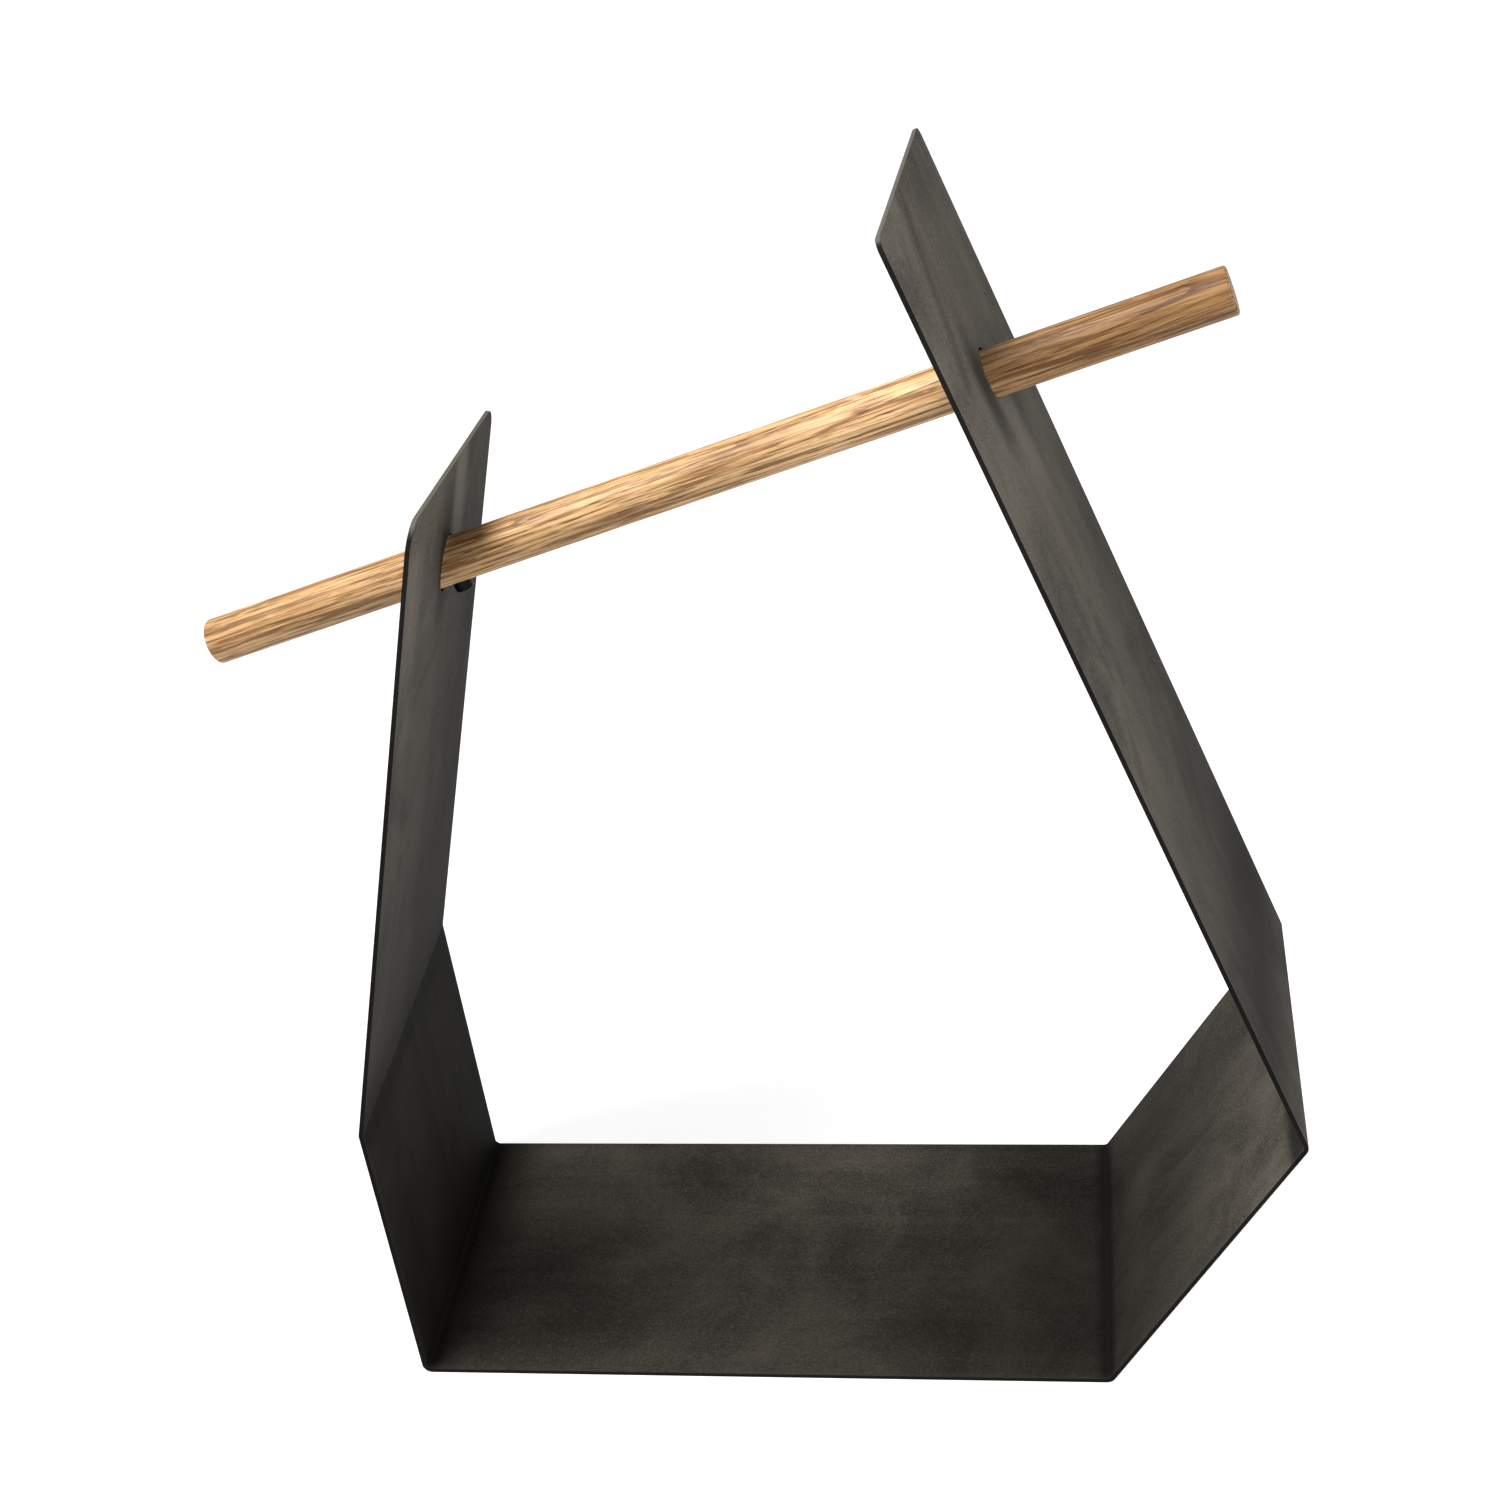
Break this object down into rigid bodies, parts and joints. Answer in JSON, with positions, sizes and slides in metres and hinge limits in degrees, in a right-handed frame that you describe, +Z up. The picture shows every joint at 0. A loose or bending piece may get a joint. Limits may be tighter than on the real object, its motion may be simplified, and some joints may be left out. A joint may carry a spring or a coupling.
{
  "type": "firewood log rack",
  "caption": "Open leaning band of folded sheet steel that holds firewood logs, crossed by a sloping round oak rod that slides through holes in both walls.",
  "frame": {"origin": "centre of the flat underside of the band, on the floor, midway between front and back", "axes": "+X across the rack, the way the rod rises; +Y from front to back; +Z up"},
  "size_m": [0.586, 0.208, 0.6854],
  "materials": {
    "blackened_steel": "oiled hot-rolled sheet, satin, faintly mottled",
    "oak": "oiled oak, satin, open grain along the rod",
    "black_screw": "black oxide, satin"
  },
  "bodies": {
    "band": {"folded_steel_band": "blackened_steel"},
    "rod": {"oak_rod": "oak", "stop_screw": "black_screw"}
  },
  "joints": [
    {"name": "rod_slide", "type": "slide", "parent": "band", "child": "rod", "axis": [0.9516, 0, 0.3074], "range_m": [-0.0053, 0.12]}
  ]
}
